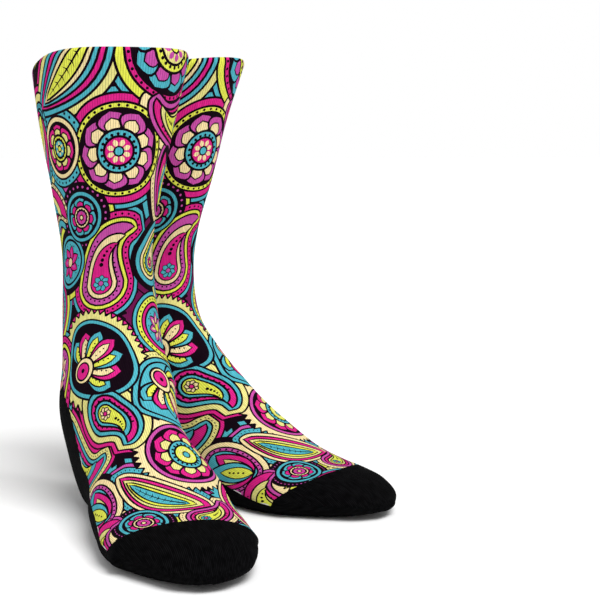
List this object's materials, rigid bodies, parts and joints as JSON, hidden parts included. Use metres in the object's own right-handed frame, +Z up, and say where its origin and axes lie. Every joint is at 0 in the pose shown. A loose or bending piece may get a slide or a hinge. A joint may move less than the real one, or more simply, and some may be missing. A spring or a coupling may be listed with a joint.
{
  "type": "pair of socks",
  "caption": "Filled-out crew socks standing on flat black soles, patterned leg and instep, black heel and toe, open at the rim.",
  "frame": {"origin": "bottom centre of the bounding box, on the floor under the soles", "axes": "+X to the viewer's right, +Y away from the viewer, +Z up"},
  "size_m": [0.2335, 0.3386, 0.3005],
  "materials": {
    "patterned_knit": "matt knit, printed",
    "black_knit": "matt knit"
  },
  "bodies": {
    "root": {"front_sock_body": "patterned_knit", "front_sock_heel_sole": "black_knit", "front_sock_toe": "black_knit", "back_sock_body": "patterned_knit", "back_sock_heel_sole": "black_knit", "back_sock_toe": "black_knit"}
  },
  "joints": []
}
